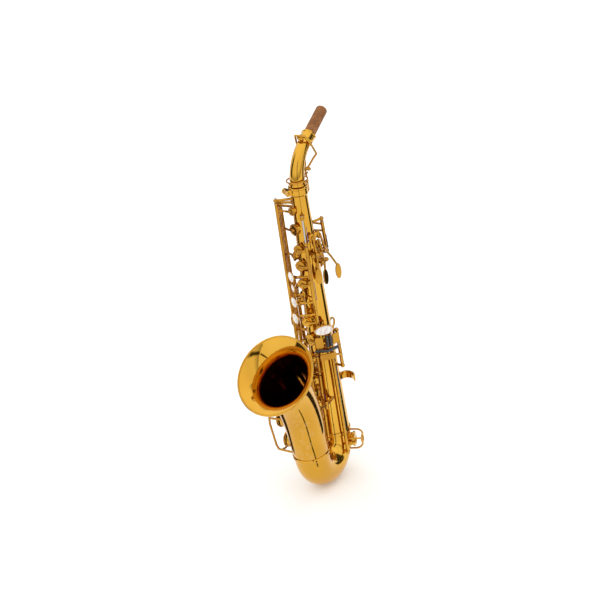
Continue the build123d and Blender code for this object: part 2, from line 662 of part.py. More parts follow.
# ---------------------------------------------------------------- left-hand table
table = SteelLine(spot(90, -86, 10), spot(136, -86, 10))
stand(table, (90, 136))
TABLE_HEIGHT = 14.0
g_touch = Key("g_sharp_touch", table.tube(121.8, 132.9), 0, 5)
g_seat = spot(144.5, -43, TABLE_HEIGHT)
g_seat_way = out(-46)
g_across = out(-46 + 90)
oval_seat = Plane(origin=g_seat, x_dir=g_across, z_dir=g_seat_way).location * extrude(Ellipse(11.6, 6.0), 1.4)
oval_pearl = extrude(Ellipse(10.6, 5.1), 1.6)
oval_pearl = fillet(oval_pearl.edges().group_by(Axis.Z)[-1], 0.7)
oval_at = Plane(origin=g_seat + g_seat_way * 1.4, x_dir=g_across, z_dir=g_seat_way).location
g_touch.solder(oval_seat, arm([table.at_z(127), spot(131, -74, 9.6), spot(144.5, -70, 12.6),
                               g_seat + g_seat_way * 0.2]))
g_touch.extras.append(("pearl_g_sharp", oval_at * oval_pearl))
g_touch.finish()

b_touch = Key("low_b_touch", table.tube(107.4, 121.4), 0, 5)
b_point = spot(130, -70, TABLE_HEIGHT - 0.6)
b_touch.solder(plate(b_point, out(-70), out(-70 + 90), 10, 13),
               arm([table.at_z(117), spot(120, -78, TABLE_HEIGHT - 1.4), b_point]))
ROLLER = 1.9
rollers = [arm([spot(124.5, theta, TABLE_HEIGHT + 1.2), spot(135.5, theta, TABLE_HEIGHT + 1.2)], ROLLER)
           for theta in (-55, -47)]
rollers.append(arm([spot(118.8, -70, TABLE_HEIGHT + 0.6), spot(118.8, -44, TABLE_HEIGHT + 2.6),
                    spot(118.8, -20, TABLE_HEIGHT + 0.6)], ROLLER))
roller_rail = arm([b_point + out(-70) * 0.4, spot(130, -58, TABLE_HEIGHT - 1.9),
                   spot(130, -46, TABLE_HEIGHT - 1.9)], 0.9)
roller_rail += arm([table.at_z(114), spot(118.5, -76, TABLE_HEIGHT - 1.8), spot(118.8, -70, TABLE_HEIGHT)], 0.9)
b_touch.solder(roller_rail)
b_touch.extras.extend([("table_rollers", shape - roller_rail) for shape in rollers])
b_touch.finish()

bb_touch = Key("low_b_flat_touch", table.tube(93.1, 107.0), 0, 5)
bb_point = spot(110.5, -44, TABLE_HEIGHT - 0.6)
bb_touch.solder(plate(bb_point, out(-44), out(-44 + 90), 19, 8.0),
                arm([table.at_z(104), spot(109, -70, TABLE_HEIGHT - 0.8), bb_point]))
bb_touch.finish()

# ---------------------------------------------------------------- low C sharp
cs_line = SteelLine(spot(-22, -62, 6.0), spot(141, -62, 6.0))
stand(cs_line, (-22, 141))
cs_key = Key("low_c_sharp_key", cs_line.tube(-18.9, 137.9), 0, -6)
cs_key.cup(CS_RIM, CS_WAY, CS_RADIUS, cs_line.at_z(-15))
cs_plate = spot(129, -29, TABLE_HEIGHT - 0.6)
cs_key.solder(plate(cs_plate, out(-29), out(-29 + 90), 9.5, 13.5),
              arm([cs_line.at_z(119), spot(120.5, -48, 9.5), spot(124, -34, TABLE_HEIGHT - 1.0), cs_plate]))
cs_key.finish()

# ---------------------------------------------------------------- low B and low B flat on the bell
low_b_line = SteelLine(Vector(0, 31.6, 2), Vector(0, 31.6, 88))
POSTS.append(post(Vector(0, body_r(2), 2), low_b_line.low, low_b_line.way))
POSTS.append(post(Vector(0, body_r(88), 88), low_b_line.high, low_b_line.way))
RODS.append(rod(low_b_line.low - Vector(0, 0, 2.2), low_b_line.high + Vector(0, 0, 2.2), ROD))
low_bb_line = SteelLine(Vector(8.5, 31, 36), Vector(8.5, 31, 88))
bell_foot = bell_plane(37)
POSTS.append(post(Vector(8.5, bell_foot.origin.Y - bell_r(37) * 0.94, 36), low_bb_line.low, low_bb_line.way))
POSTS.append(post(Vector(4.2, 15.6, 88), low_bb_line.high, low_bb_line.way))
RODS.append(rod(low_bb_line.low - Vector(0, 0, 2.2), low_bb_line.high + Vector(0, 0, 2.2), ROD))
OPEN_BELL = -4.0
for node, line, hinge_z, low_z, path in (
        ("low_b_key", low_b_line, 24, 5.1, [Vector(10, 35.2, 24), Vector(25, 37, 21)]),
        ("low_b_flat_key", low_bb_line, 46, 39.1, [Vector(26, 38, 45)])):
    key = Key(node, line.tube(low_z, 84.9), OPEN_BELL, -OPEN_BELL)
    rim, way, radius = bell_rims[node[:-4]]
    brass, pad = cup_and_pad(rim, way, radius)
    top = rim + way * (PAD_GAP + PAD_THICK + 1.3)
    over = top + Vector(1.4, -radius - 1.0, 0)
    key.solder(brass, arm([line.at_z(hinge_z)] + path + [over, top + way * 0.6]))
    key.solder(turned([(0, 0), (2.6, 0), (2.2, 1.2), (0, 1.8)], top - way * 0.4, way))
    key.extras.append((node, pad))
    key.finish()

# ---------------------------------------------------------------- low E flat and low C, right little finger
RIGHT_RHO = 27.5
right_line = SteelLine(at(-30, 112, RIGHT_RHO), at(62, 112, RIGHT_RHO))
stand(right_line, (31.5, 62))
POSTS.append(post(bow_plane(31).origin + Vector(0.66, -0.75, 0) * (bow_r(31) - 1.0), right_line.at_z(-30),
                  right_line.way))
RODS[-1] = rod(right_line.at_z(-32.2), right_line.at_z(64.2), ROD)
e_flat = Key("low_e_flat_key", right_line.tube(34.6, 58.9), 0, 7)
e_flat.hole_cup("low_e_flat", right_line.at_z(46))
e_point = at(39, 81, 32)
e_flat.solder(arm([right_line.at_z(40), at(40, 100, 31), e_point]),
              plate(e_point, out(80), Vector(0, 0, 1), 12, 12))
e_flat.finish()
OPEN_C = -6.0
low_c = Key("low_c_key", right_line.tube(-26.9, 28.4), OPEN_C, -OPEN_C)
low_c.cup(C_RIM, C_WAY, C_RADIUS, right_line.at_z(-22))
c_point = at(22, 80, 32)
low_c.solder(arm([right_line.at_z(22), at(22, 100, 31), c_point]),
             plate(c_point, out(80), Vector(0, 0, 1), 12, 13))
low_c.finish()

# ---------------------------------------------------------------- guards, brace, hook, rings
bow_collar = ring(bow_plane(0), BODY_FOOT_RADIUS)
bell_collar = ring(bow_plane(BOW_LENGTH), BOW_END_RADIUS)


def near(shape, other):
    """Whether two shapes' boxes come within a millimetre of each other."""
    a, b = shape.bounding_box(), other.bounding_box()
    gaps = [max(a.min.X - b.max.X, b.min.X - a.max.X), max(a.min.Y - b.max.Y, b.min.Y - a.max.Y),
            max(a.min.Z - b.max.Z, b.min.Z - a.max.Z)]
    return max(gaps) < 1.0


def seated(shape):
    """What is left of a soldered piece once the tubes it stands on are taken away."""
    for tube_part in [body_solid, bow_solid, bell_solid, bow_collar, bell_collar] + walls:
        if near(shape, tube_part):
            shape = shape - tube_part
    return max(shape.solids(), key=lambda solid: solid.volume)


add("key_posts", *[seated(shape) for shape in POSTS])
add("pivot_steels", *RODS)


def guard(centre, normal, along, radius, rise, foot_reach):
    """A wire guard: three legs that arch over a cup and meet in a small hoop above its middle."""
    hoop = radius * 0.36
    shape = Plane(origin=centre + normal * rise, z_dir=normal).location * Torus(hoop, 1.1)
    side = normal.cross(along)
    for turn in (60, 180, 300):
        way = along * cos(radians(turn)) + side * sin(radians(turn))
        points = [centre + way * radius - normal * foot_reach, centre + way * radius + normal * rise * 0.25]
        for step in (1, 2, 3, 4):
            bend = radians(22.5 * step)
            reach = hoop + (radius - hoop) * cos(bend)
            points.append(centre + way * reach + normal * rise * (0.25 + 0.75 * sin(bend)))
        shape += arm(points, 1.1)
    return shape


cs_guard = guard(CS_RIM, CS_WAY, Vector(0, 0, 1), 13.2, 11.5, 9.0)
add("low_c_sharp_guard", seated(cs_guard))

# the bell-key guard: one long loop round both cups with four feet
guard_low = bell_rims["low_b"][0]
guard_high = bell_rims["low_b_flat"][0]
guard_way = (guard_high - guard_low).normalized()
guard_side = Vector(1, 0, 0).cross(guard_way)
GUARD_RISE = 11.5
GUARD_RADIUS = 15.0
lift = Vector(GUARD_RISE, 0, 0)
corner_points = []
for end, start_turn in ((guard_high, 90), (guard_low, 270)):
    for step in range(7):
        turn = radians(start_turn - step * 30)
        along = guard_way * cos(turn) + guard_side * sin(turn)
        corner_points.append(end + lift + along * GUARD_RADIUS)
bell_guard = arm(corner_points + [corner_points[0]], 1.3)
for index in (1, 5, 8, 12):
    top = corner_points[index]
    middle = (guard_low + guard_high) * 0.5
    outward = (top - lift - middle)
    outward = (outward - Vector(outward.X, 0, 0)).normalized()
    bell_guard += arm([top, top + outward * 1.0 - Vector(GUARD_RISE + 3, 0, 0),
                       Vector(10, top.Y + outward.Y * 0.5, top.Z + outward.Z)], 1.3)
add("bell_key_guard", seated(bell_guard))

# the brace between body and bell, on the player's left of the keywork
BRACE_Z = 50
brace = arm([Vector(-12.5, 8, BRACE_Z), Vector(-14, 30, BRACE_Z), Vector(-12.5, 52, BRACE_Z + 4)], 1.9)
brace += rod(Vector(-14, 30, BRACE_Z - 5), Vector(-14, 30, BRACE_Z + 5), 2.6)
add("bell_brace", seated(brace))

# the strap ring on its bracket at the back
strap_foot = spot(128, 180, 0)
bracket = plate(strap_foot + Vector(0, 0.8, 0), Vector(0, -1, 0), Vector(0, 0, 1), 15, 8, 2.2)
bracket += arm([strap_foot, STRAP_POINT + Vector(0, 6.2, 0)], 1.7)
bracket += Plane(origin=STRAP_POINT, z_dir=(1, 0, 0)).location * Torus(5.6, 1.2)
add("strap_ring", bracket - body_solid)

# the right thumb hook on its long base plate
HOOK_THETA = -168
hook_way = out(HOOK_THETA)
hook_side = out(HOOK_THETA + 90)
hook_low = spot(38, HOOK_THETA, -1)
hook_high = spot(64, HOOK_THETA, -1)
hook = plate((hook_low + hook_high) * 0.5, hook_way, Vector(0, 0, 1), 30, 9, 3.2)
# the hook itself is a strip bent in a smooth curve that opens towards the player's left
HOOK_Z = 59.5
HOOK_WIDTH = 9.5
HOOK_THICK = 1.8
HOOK_LINE = [spot(HOOK_Z, HOOK_THETA, 1.5), spot(HOOK_Z, HOOK_THETA, 8), spot(HOOK_Z, -165, 13.5),
             spot(HOOK_Z, -157, 16.5), spot(HOOK_Z, -147, 17.5), spot(HOOK_Z, -137, 16.8)]
centre_line = Spline(*[(p.X, p.Y, 0) for p in HOOK_LINE])
HOOK_STEPS = 14
edges = ([], [])
for step in range(HOOK_STEPS + 1):
    on_line, ahead = centre_line @ (step / HOOK_STEPS), centre_line % (step / HOOK_STEPS)
    sideways = Vector(-ahead.Y, ahead.X, 0) * (HOOK_THICK / 2)
    edges[0].append(on_line + sideways)
    edges[1].append(on_line - sideways)
strip = make_face(Wire([Spline(*edges[0]), Line(edges[0][-1], edges[1][-1]), Spline(*edges[1][::-1]),
                        Line(edges[1][0], edges[0][0])]))
hook += Pos(0, 0, HOOK_Z - HOOK_WIDTH / 2) * fillet(
    extrude(strip, HOOK_WIDTH).edges().filter_by(Plane.XY), 0.5)
add("thumb_hook", seated(hook))
hook_screw = turned([(0, 0), (2.2, 0), (2.2, 0.9), (0, 1.3)], spot(44, HOOK_THETA, 2.25), hook_way)
add("thumb_hook", hook_screw)

# the left thumb rest
rest_at = spot(188, 180, -0.6)
rest = turned([(0, 0), (6.0, 0), (6.2, 2.6), (5.2, 3.8), (3.0, 4.2), (0, 4.3)], rest_at, out(180))
add("thumb_rest", rest - body_solid)

for line, low_z, high_z, theta in ((octave_line, 229, 246, -80), (upper, 180, 203, -110),
                                   (upper, 251, 270, -110), (lower, 40, 60, -100),
                                   (cs_line, 60, 90, -150)):
    spring(line, low_z, high_z, theta)
add("needle_springs", *SPRINGS)


def save():
    os.makedirs("parts", exist_ok=True)
    for node, shapes in PARTS.items():
        solids = []
        for shape in shapes:
            solids.extend(shape.solids())
        whole = Compound(children=[solid.moved(Location(-STRAP_POINT)) for solid in solids])
        export_step(whole, os.path.join("parts", node + ".step"))


save()
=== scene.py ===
"""A curved soprano saxophone in clear gold lacquer, standing upright on a pale floor."""

from math import cos, pi, radians, sin

import bmesh
import bpy
import numpy as np
from mathutils import Matrix, Vector, noise
from mathutils.bvhtree import BVHTree


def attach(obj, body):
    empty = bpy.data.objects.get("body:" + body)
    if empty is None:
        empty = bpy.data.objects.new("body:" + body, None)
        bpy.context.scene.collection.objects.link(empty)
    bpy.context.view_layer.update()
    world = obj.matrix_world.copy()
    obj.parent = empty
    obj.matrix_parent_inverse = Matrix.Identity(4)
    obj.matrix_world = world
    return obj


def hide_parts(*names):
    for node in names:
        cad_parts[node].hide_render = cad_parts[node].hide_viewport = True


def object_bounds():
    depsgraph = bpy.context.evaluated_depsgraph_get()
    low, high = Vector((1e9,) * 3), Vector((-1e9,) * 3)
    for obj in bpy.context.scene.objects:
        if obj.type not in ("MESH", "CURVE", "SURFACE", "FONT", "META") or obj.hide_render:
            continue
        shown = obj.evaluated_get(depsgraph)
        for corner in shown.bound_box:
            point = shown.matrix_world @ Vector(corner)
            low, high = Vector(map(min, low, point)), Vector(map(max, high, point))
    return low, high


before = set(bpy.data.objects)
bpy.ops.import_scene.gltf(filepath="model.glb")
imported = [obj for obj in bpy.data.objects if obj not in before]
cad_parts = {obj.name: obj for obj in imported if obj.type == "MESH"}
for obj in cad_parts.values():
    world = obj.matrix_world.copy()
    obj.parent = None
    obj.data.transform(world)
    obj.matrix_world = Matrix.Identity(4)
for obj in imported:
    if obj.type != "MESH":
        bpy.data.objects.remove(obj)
cad_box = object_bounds()
MM = 0.001


# ------------------------------------------------------------------ camera
# A long lens looks down at the instrument from its left front, so that the bell's mouth and the
# left-hand table face the viewer and the tube leans a little to the left.
camera_data = bpy.data.cameras.new("camera")
camera_data.lens = 93.4
camera_data.sensor_width = 36
camera_data.shift_x = -0.0146
camera_data.shift_y = 0.0392
camera_data.clip_start = 0.05
camera_data.clip_end = 60
camera = bpy.data.objects.new("camera", camera_data)
bpy.context.scene.collection.objects.link(camera)
CAMERA_AZIMUTH, CAMERA_RISE, CAMERA_ROLL = radians(33.476), radians(24.782), radians(-8.61)
CAMERA_AIM = Vector((0, 49.668, 22)) * MM
CAMERA_DISTANCE = 1800 * MM
towards_camera = Vector((-sin(CAMERA_AZIMUTH) * cos(CAMERA_RISE),
                         cos(CAMERA_AZIMUTH) * cos(CAMERA_RISE), sin(CAMERA_RISE)))
level = Vector((0, 0, 1)).cross(towards_camera).normalized()
upright = towards_camera.cross(level)
camera_right = level * cos(CAMERA_ROLL) + upright * sin(CAMERA_ROLL)
camera_up = upright * cos(CAMERA_ROLL) - level * sin(CAMERA_ROLL)
camera_turn = Matrix((camera_right, camera_up, towards_camera)).transposed().to_4x4()
camera.matrix_world = Matrix.Translation(CAMERA_AIM + towards_camera * CAMERA_DISTANCE) @ camera_turn
bpy.context.scene.camera = camera
bpy.context.scene.view_settings.view_transform = "Standard"


# ------------------------------------------------------------------ light and floor
# A tent of white cloth lights the instrument from all sides.  Upright gaps between its panels show
# as dark lines down the polished tubes.  The floor is matt white card.
class Wire:
    """The value that leaves a node; arithmetic on it adds Math nodes."""

    def __init__(self, finish, socket):
        self.finish = finish
        self.socket = socket

    def math(self, operation, *values, clamp=False):
        return self.finish.node("ShaderNodeMath", {"operation": operation, "use_clamp": clamp},
                                dict(enumerate(values)))

    def __add__(self, other):
        return self.math("ADD", self, other)

    def __sub__(self, other):
        return self.math("SUBTRACT", self, other)

    def __rsub__(self, other):
        return self.math("SUBTRACT", other, self)

    def __mul__(self, other):
        return self.math("MULTIPLY", self, other)

    def __truediv__(self, other):
        return self.math("DIVIDE", self, other)

    def __gt__(self, other):
        return self.math("GREATER_THAN", self, other)

    def __lt__(self, other):
        return self.math("LESS_THAN", self, other)

    __radd__ = __add__
    __rmul__ = __mul__

    def held(self):
        """The value kept between 0 and 1."""
        return self.math("ADD", self, 0.0, clamp=True)


class Finish:
    """A node tree being built, of a material or of the light round it."""

    def __init__(self, tree):
        self.tree = tree

    def node(self, kind, settings=None, sockets=None, out=0):
        """One node: its settings first, then the values or wires of its sockets."""
        node = self.tree.nodes.new(kind)
        for name, value in (settings or {}).items():
            if name == "stops":
                ramp = node.color_ramp
                while len(ramp.elements) < len(value):
                    ramp.elements.new(0.5)
                for element, (position, colour) in zip(ramp.elements, value):
                    element.position = position
                    element.color = (*colour, 1)
            else:
                setattr(node, name, value)
        for name, value in (sockets or {}).items():
            self.plug(node.inputs[name], value)
        return Wire(self, node.outputs[out])

    def plug(self, socket, value):
        if isinstance(value, Wire):
            self.tree.links.new(value.socket, socket)
        else:
            socket.default_value = value


world = bpy.data.worlds.new("studio")
bpy.context.scene.world = world
world.use_nodes = True
tent = Finish(world.node_tree)
direction = tent.node("ShaderNodeTexCoord", out="Generated")
side_x = tent.node("ShaderNodeSeparateXYZ", sockets={"Vector": direction}, out="X")
side_y = tent.node("ShaderNodeSeparateXYZ", sockets={"Vector": direction}, out="Y")
height = tent.node("ShaderNodeSeparateXYZ", sockets={"Vector": direction}, out="Z")
heading = tent.node("ShaderNodeMath", {"operation": "ARCTAN2"}, {0: side_x, 1: side_y})
# each gap's heading from +Y towards +X and half its width, in degrees, and how dark it is
GAPS = [(-33.5, 2.4, 0.96), (-133, 15, 0.94), (62, 12, 0.94), (146.5, 10, 0.9)]
GAP_EDGE = 4.0
cloth = None
for gap_heading, half_width, darkness in GAPS:
    apart = tent.node("ShaderNodeMath", {"operation": "WRAP"},
                      {0: heading - radians(gap_heading), 1: pi, 2: -pi})
    apart = apart.math("ABSOLUTE", apart)
    shut = ((apart - radians(half_width)) / radians(GAP_EDGE)).held()
    panel = shut * darkness + (1 - darkness)
    cloth = panel if cloth is None else cloth * panel
ROOF_FOOT, ROOF_BLEND, ROOF_LIGHT = 0.55, 0.25, 1.35
SKIRT_FOOT, SKIRT_BLEND, SKIRT_LIGHT, WALL_GAIN = -0.05, 0.3, 0.35, 0.85
roof = ((height - ROOF_FOOT) / ROOF_BLEND).held()
skirt = ((height - SKIRT_FOOT) / SKIRT_BLEND).held()
brightness = (cloth * (SKIRT_LIGHT + WALL_GAIN * skirt)) * (1 - roof) + ROOF_LIGHT * roof
seen = tent.node("ShaderNodeLightPath", out="Is Camera Ray")
shown = brightness * (1 - seen) + seen
background = tent.tree.nodes["Background"]
background.inputs["Color"].default_value = (1.0, 0.993, 0.98, 1)
tent.plug(background.inputs["Strength"], shown)


def link(thing):
    bpy.context.scene.collection.objects.link(thing)
    return thing


lowest = cad_box[0].z
floor_mesh = bpy.data.meshes.new("floor")
FLOOR_HALF = 14.0
floor_mesh.from_pydata([(x, y, lowest) for x, y in ((-FLOOR_HALF, -FLOOR_HALF), (FLOOR_HALF, -FLOOR_HALF),
                                                    (FLOOR_HALF, FLOOR_HALF), (-FLOOR_HALF, FLOOR_HALF))],
                       [], [(0, 1, 2, 3)])
floor = link(bpy.data.objects.new("floor", floor_mesh))


class Material(Finish):
    """A material with one Principled surface, whose constants are set straight on it."""

    def __init__(self, name, **constants):
        self.material = bpy.data.materials.new(name)
        self.material.use_nodes = True
        super().__init__(self.material.node_tree)
        self.surface = self.tree.nodes["Principled BSDF"]
        for socket, value in constants.items():
            self.set(socket.replace("_", " "), value)

    def set(self, socket, value):
        self.plug(self.surface.inputs[socket], value)

    def where(self, stretch=(1, 1, 1)):
        """The place on the piece, in metres, squeezed along its axes by the stretch."""
        place = self.node("ShaderNodeTexCoord", out="Object")
        return self.node("ShaderNodeVectorMath", {"operation": "MULTIPLY"}, {0: place, 1: stretch})

    def cloud(self, scale, detail=3.0, roughness=0.5, stretch=(1, 1, 1)):
        return self.node("ShaderNodeTexNoise", {"noise_dimensions": "3D"},
                         {"Vector": self.where(stretch), "Scale": scale, "Detail": detail,
                          "Roughness": roughness}, out="Fac")

    def shades(self, value, *stops):
        return self.node("ShaderNodeValToRGB", {"stops": stops}, {"Fac": value}, out="Color")

    def relief(self, height, depth, strength=1.0):
        """Dents and bumps of that depth in metres."""
        self.set("Normal", self.node("ShaderNodeBump", sockets={"Height": height, "Distance": depth,
                                                                 "Strength": strength}, out="Normal"))


card = Material("white card", Roughness=0.9)
card.set("Base Color", card.shades(card.cloud(3.0), (0.3, (0.965, 0.965, 0.96)), (0.7, (0.98, 0.98, 0.975))))
card.set("Emission Color", (1.0, 0.99, 0.975, 1))
card.set("Emission Strength", 0.14)
floor_mesh.materials.append(card.material)

# black flags lie on the floor in line with the tent's gaps; only the polished metal sees them
flag_cloth = Material("black flag", Roughness=1.0)
flag_cloth.set("Base Color", flag_cloth.shades(flag_cloth.cloud(20.0), (0.3, (0.010, 0.008, 0.006)),
                                               (0.7, (0.016, 0.013, 0.010))))
FLAG_NEAR, FLAG_FAR, FLAG_LIFT = 0.11, 4.0, 0.5 * MM
TUBE_AXIS_Y = 29.668 * MM
for gap_heading, half_width, darkness in GAPS:
    corners = []
    for reach, turn in ((FLAG_NEAR, -1), (FLAG_FAR, -1), (FLAG_FAR, 1), (FLAG_NEAR, 1)):
        angle = radians(gap_heading + turn * half_width)
        corners.append((reach * sin(angle), TUBE_AXIS_Y + reach * cos(angle), lowest + FLAG_LIFT))
    flag_mesh = bpy.data.meshes.new("flag")
    flag_mesh.from_pydata(corners, [], [(0, 1, 2, 3)])
    flag_mesh.materials.append(flag_cloth.material)
    flag = link(bpy.data.objects.new("flag", flag_mesh))
    flag.visible_camera = flag.visible_diffuse = flag.visible_shadow = flag.visible_transmission = False


# ------------------------------------------------------------------ tubes, posts and keys
# Sheet brass is drawn and hammered into the cone, bow, bell and neck; cast and turned brass makes the
# posts, keys, rings and guards.  All of it is buffed and sprayed with clear gold lacquer.  The brass of
# the keys, posts and guards is mixed darker than the tubes' as painted shade for the crowded keywork.
def coated(name, pale, deep, gloss):
    brass = Material(name, Metallic=1.0, Coat_Weight=0.3, Coat_Roughness=0.03, Coat_IOR=1.5)
    thick_lacquer = brass.cloud(14.0, detail=2.0)
    brass.set("Base Color", brass.shades(thick_lacquer, (0.32, deep), (0.68, pale)))
    wiped = brass.cloud(55.0, detail=5.0, stretch=(1, 1, 0.25))
    hairlines = brass.cloud(700.0, detail=2.0, stretch=(1, 1, 0.06))
    brass.set("Roughness", gloss + 0.07 * wiped + 0.05 * hairlines)
    orange_peel = brass.cloud(420.0, detail=1.0)
    brass.relief(orange_peel + 0.25 * hairlines, 0.00002, 0.35)
    return brass


def dress(material, slot, *nodes):
    """Gives carried-over CAD nodes their material."""
    for node in nodes:
        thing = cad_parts[node]
        for place in thing.material_slots:
            place.material = material.material


tube_brass = coated("lacquered tube brass", (0.70, 0.385, 0.040), (0.58, 0.29, 0.022), 0.03)
# the key brass's pale and deep tones are darker than the tube brass: painted shade and painted dark
# reflections of the crowded keywork
key_brass_painted_shade = coated("lacquered key brass with painted shade", (0.64, 0.335, 0.028), (0.42, 0.185, 0.014), 0.03)
TUBES = ["body_tube", "bow", "bell", "bell_rim_bead", "body_bow_ring", "bow_bell_ring", "neck_tube",
         "neck_collar", "neck_receiver"]
FITTINGS = ["key_posts", "bell_brace", "bell_key_guard", "low_c_sharp_guard", "strap_ring", "thumb_hook",
            "neck_key_saddle", "neck_clamp_screw"]
KEYS = [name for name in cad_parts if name.endswith("_key") or name.endswith("_touch")]
LEVERS = ["octave_thumb_lever", "neck_octave_pin"]
dress(tube_brass, "lacquered_brass", *TUBES)
dress(key_brass_painted_shade, "lacquered_brass", *FITTINGS, *KEYS, *LEVERS)


# ------------------------------------------------------------------ engraving on the bell
# A spray of leaves cut by hand through the lacquer with a small graver, so each stroke is a thin
# groove of brighter, rougher brass that swells in its middle and dies away at both ends.
cut_brass = Material("hand-cut brass", Metallic=1.0)
cut_brass.set("Base Color", cut_brass.shades(cut_brass.cloud(600.0), (0.3, (0.58, 0.33, 0.10)),
                                             (0.7, (0.86, 0.60, 0.24))))
cut_brass.set("Roughness", 0.32 + 0.2 * cut_brass.cloud(900.0))
cut_brass.relief(cut_brass.cloud(1500.0, stretch=(1, 1, 0.2)), 0.00003)


def mesh_of(name, corners, faces, material, body, crease=40.0):
    """A smooth-shaded piece on a body, sharp only where its faces meet steeply."""
    mesh = bpy.data.meshes.new(name)
    mesh.from_pydata([tuple(corner) for corner in corners], [], faces)
    mesh.validate()
    mesh.shade_smooth()
    mesh.set_sharp_from_angle(angle=radians(crease))
    mesh.materials.append(material.material)
    piece = link(bpy.data.objects.new(name, mesh))
    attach(piece, body)
    return piece


bell_skin = BVHTree.FromPolygons([v.co.copy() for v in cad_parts["bell"].data.vertices],
                                 [tuple(p.vertices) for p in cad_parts["bell"].data.polygons])
BELL_LOW = Vector((0, 85.0, -150.0)) * MM
BELL_UP = Vector((0, 0.136, 0.991))
BELL_FORWARD = Vector((0, 0.991, -0.136))


def on_bell(along, round_it):
    """The bell's outer skin at a length up it, and a heading round it from the front, both in mm."""
    heading = round_it / 24.0
    way = BELL_FORWARD * cos(heading) + Vector((sin(heading), 0, 0))
    middle = BELL_LOW + BELL_UP * along * MM
    found, normal, _, _ = bell_skin.ray_cast(middle + way * 0.07, -way)
    return found, normal


corners, faces = [], []


def stroke(points, widest):
    """One cut of the graver through points given as (along the bell, round the bell)."""
    samples = []
    for (a, b), (c, d) in zip(points, points[1:]):
        samples += [(a + (c - a) * i / 5, b + (d - b) * i / 5) for i in range(5)]
    samples.append(points[-1])
    placed = [on_bell(*sample) for sample in samples]
    if any(found is None for found, _ in placed):
        return
    first = len(corners)
    for i, (found, normal) in enumerate(placed):
        before, after = placed[max(i - 1, 0)][0], placed[min(i + 1, len(placed) - 1)][0]
        across = (after - before).cross(normal).normalized()
        half = widest * 0.5 * sin(pi * (i + 0.6) / (len(placed) + 0.2)) * MM
        lifted = found + normal * 0.012 * MM
        corners.extend([lifted - across * half, lifted + normal * 0.02 * MM, lifted + across * half])
    for i in range(len(placed) - 1):
        row = first + 3 * i
        faces.extend([(row, row + 1, row + 4, row + 3), (row + 1, row + 2, row + 5, row + 4)])


def curl(centre, radius, start, sweep, steps=9):
    return [(centre[0] + radius * sin(radians(start + sweep * i / steps)),
             centre[1] + radius * cos(radians(start + sweep * i / steps))) for i in range(steps + 1)]


def leaf(root, heading, length, width):
    """A leaf: two edges that meet at the tip, a midrib, and slanting veins."""
    way = Vector((cos(heading), sin(heading)))
    side = Vector((-way.y, way.x))
    for hand in (-1, 1):
        edge = []
        for i in range(8):
            share = i / 7
            bulge = width * sin(pi * share) * (1 - 0.35 * share)
            spot = Vector(root) + way * length * share + side * hand * bulge
            edge.append(tuple(spot))
        stroke(edge, 0.34)
        for share in (0.25, 0.42, 0.58, 0.72):
            rib = Vector(root) + way * length * share
            tip = rib + way * length * 0.14 + side * hand * width * 0.62 * sin(pi * share)
            stroke([tuple(rib), tuple(tip)], 0.2)
    stroke([tuple(Vector(root) + way * length * share) for share in (0.05, 0.35, 0.65, 0.95)], 0.26)


STEM = [(14 + 8.5 * i, -13 + 5.5 * sin(i * 0.85)) for i in range(11)]
stroke(STEM, 0.42)
for i, (along, round_it) in enumerate(STEM[1:-1]):
    hand = 1 if i % 2 else -1
    leaf((along, round_it), hand * radians(52), 15.0 - i * 0.7, 3.0)
    stroke(curl((along + 3.5, round_it - hand * 5.0), 3.4, 200 * hand, 250 * hand), 0.3)
    stroke(curl((along + 3.0, round_it - hand * 5.4), 1.9, 200 * hand, 230 * hand), 0.24)
leaf(STEM[-1], radians(4), 17.0, 3.6)
mesh_of("bell_engraving", corners, faces, cut_brass, "root")


# ------------------------------------------------------------------ mouthpiece cork
# Sheet cork glued round the end of the neck, sanded to a slight taper, waxed, with its far edge
# rounded over and the cork's natural pits showing.
cork = Material("waxed sheet cork", Specular_IOR_Level=0.3)
cork_grain = cork.cloud(420.0, detail=6.0, roughness=0.65)
cork_bands = cork.cloud(120.0, detail=3.0, stretch=(1, 1, 0.35))
cork_colour = cork.shades(cork_grain * 0.6 + cork_bands * 0.4, (0.34, (0.17, 0.064, 0.022)),
                          (0.50, (0.28, 0.115, 0.040)), (0.66, (0.41, 0.19, 0.075)))
pits = cork.node("ShaderNodeTexVoronoi", {"feature": "F1"}, {"Vector": cork.where(), "Scale": 520.0},
                 out="Distance")
pit = (pits < 0.2) * (cork.cloud(160.0) > 0.5)
cork.set("Base Color", cork.node("ShaderNodeMix", {"data_type": "RGBA"},
                                 {"Factor": pit * 0.75, 6: cork_colour, 7: (0.06, 0.02, 0.012, 1)}, out=2))
cork.set("Roughness", 0.72 + 0.2 * cork_grain)
cork.relief(cork_grain - pit, 0.0002, 0.6)
neck_corners = np.array([v.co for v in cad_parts["mouthpiece_cork"].data.vertices])
cork_middle = Vector((neck_corners.max(0) + neck_corners.min(0)) / 2)
_, _, axes = np.linalg.svd(neck_corners - neck_corners.mean(0), full_matrices=False)
cork_way = Vector(axes[0])
cork_way = cork_way if cork_way.z > 0 else -cork_way
heights = (neck_corners - np.array(cork_middle)) @ np.array(cork_way)
CORK_LOW, CORK_HIGH = float(heights.min()), float(heights.max())
CORK_OUTER, CORK_INNER = 6.8 * MM, 5.62 * MM


def turned(profile, middle, way, segments=48):
    """Corners and faces of a piece spun round a way; the profile is (radius, height) from the middle."""
    turn = way.to_track_quat("Z", "Y").to_matrix()
    corners, faces = [], []
    for radius, height in profile:
        for i in range(segments):
            angle = 2 * pi * i / segments
            corners.append(middle + turn @ Vector((radius * cos(angle), radius * sin(angle), height)))
    for row in range(len(profile) - 1):
        for i in range(segments):
            j = (i + 1) % segments
            a, b = row * segments + i, row * segments + j
            faces.append((a, b, b + segments, a + segments))
    return corners, faces


